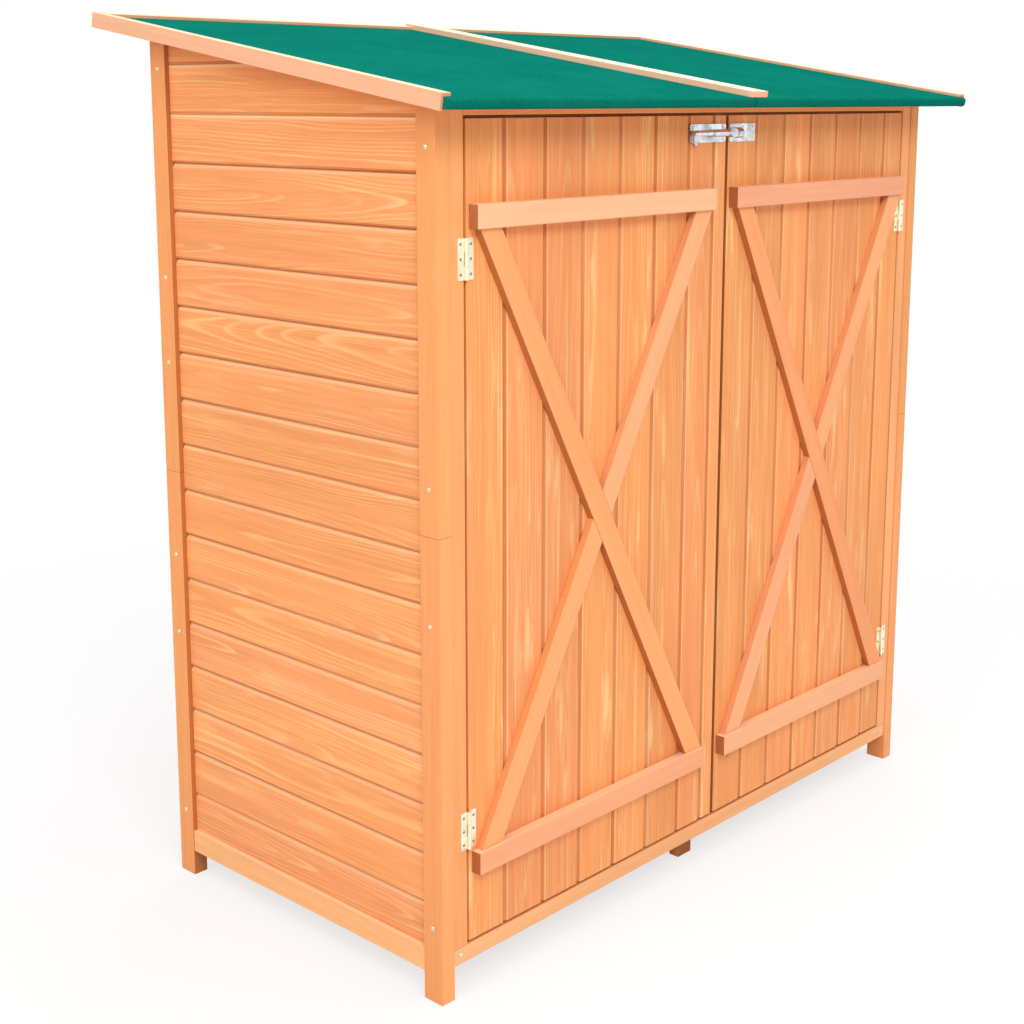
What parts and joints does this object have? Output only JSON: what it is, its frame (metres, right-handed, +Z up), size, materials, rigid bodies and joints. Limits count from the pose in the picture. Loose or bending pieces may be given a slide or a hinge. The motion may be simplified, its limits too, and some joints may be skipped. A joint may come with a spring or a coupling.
{
  "type": "garden shed",
  "caption": "Wooden garden tool shed with a mono-pitch felt roof, horizontal wall boards on corner posts with feet, and hinged ledged and braced double doors closed by a barrel bolt.",
  "frame": {"origin": "on the ground under the middle of the roof's outline", "axes": "+X to the right seen from the front, +Y from the doors to the back, +Z up"},
  "size_m": [1.522, 0.877, 1.6019],
  "materials": {
    "stained_fir": "orange-tinted softwood, matt",
    "rough_boards": "rough-sawn softwood",
    "roof_felt": "green mineral bitumen felt",
    "hinge_metal": "pale yellow passivated steel",
    "bolt_metal": "galvanised steel"
  },
  "bodies": {
    "frame": {"left_front_post_lower": "stained_fir", "left_front_post_upper": "stained_fir", "left_back_post_lower": "stained_fir", "left_back_post_upper": "stained_fir", "right_front_post_lower": "stained_fir", "right_front_post_upper": "stained_fir", "right_back_post_lower": "stained_fir", "right_back_post_upper": "stained_fir", "left_wall_lower": "stained_fir", "left_wall_upper": "stained_fir", "right_wall_lower": "stained_fir", "right_wall_upper": "stained_fir", "back_wall_lower": "stained_fir", "back_wall_upper": "stained_fir", "side_bottom_rails": "stained_fir", "back_rails": "stained_fir", "front_stiles": "stained_fir", "front_sill": "stained_fir", "front_top_rail": "stained_fir", "floor_boards": "stained_fir", "floor_bearers": "rough_boards", "middle_feet": "stained_fir", "left_roof_deck": "rough_boards", "right_roof_deck": "rough_boards", "left_roof_felt": "roof_felt", "right_roof_felt": "roof_felt", "left_verge_trim": "stained_fir", "right_verge_trim": "stained_fir", "back_trims": "stained_fir", "centre_batten": "stained_fir", "frame_hinge_leaves": "hinge_metal"},
    "left_door": {"left_door_boards": "stained_fir", "left_door_ledges": "stained_fir", "left_door_long_brace": "stained_fir", "left_door_short_braces": "stained_fir", "left_door_hinge_leaves": "hinge_metal", "bolt_plate": "bolt_metal"},
    "right_door": {"right_door_boards": "stained_fir", "right_door_ledges": "stained_fir", "right_door_long_brace": "stained_fir", "right_door_short_braces": "stained_fir", "right_door_hinge_leaves": "hinge_metal", "bolt_keeper": "bolt_metal"},
    "bolt": {"bolt_rod": "bolt_metal"}
  },
  "joints": [
    {"name": "left_door_swing", "type": "hinge", "parent": "frame", "child": "left_door", "pos_m": [-0.6405, -0.3619, 0.748], "axis": [0, 0, -1], "range_deg": [0, 105]},
    {"name": "right_door_swing", "type": "hinge", "parent": "frame", "child": "right_door", "pos_m": [0.6405, -0.3619, 0.748], "axis": [0, 0, 1], "range_deg": [0, 105]},
    {"name": "bolt_slide", "type": "slide", "parent": "left_door", "child": "bolt", "axis": [1, 0, 0], "range_m": [0, 0.04]}
  ]
}
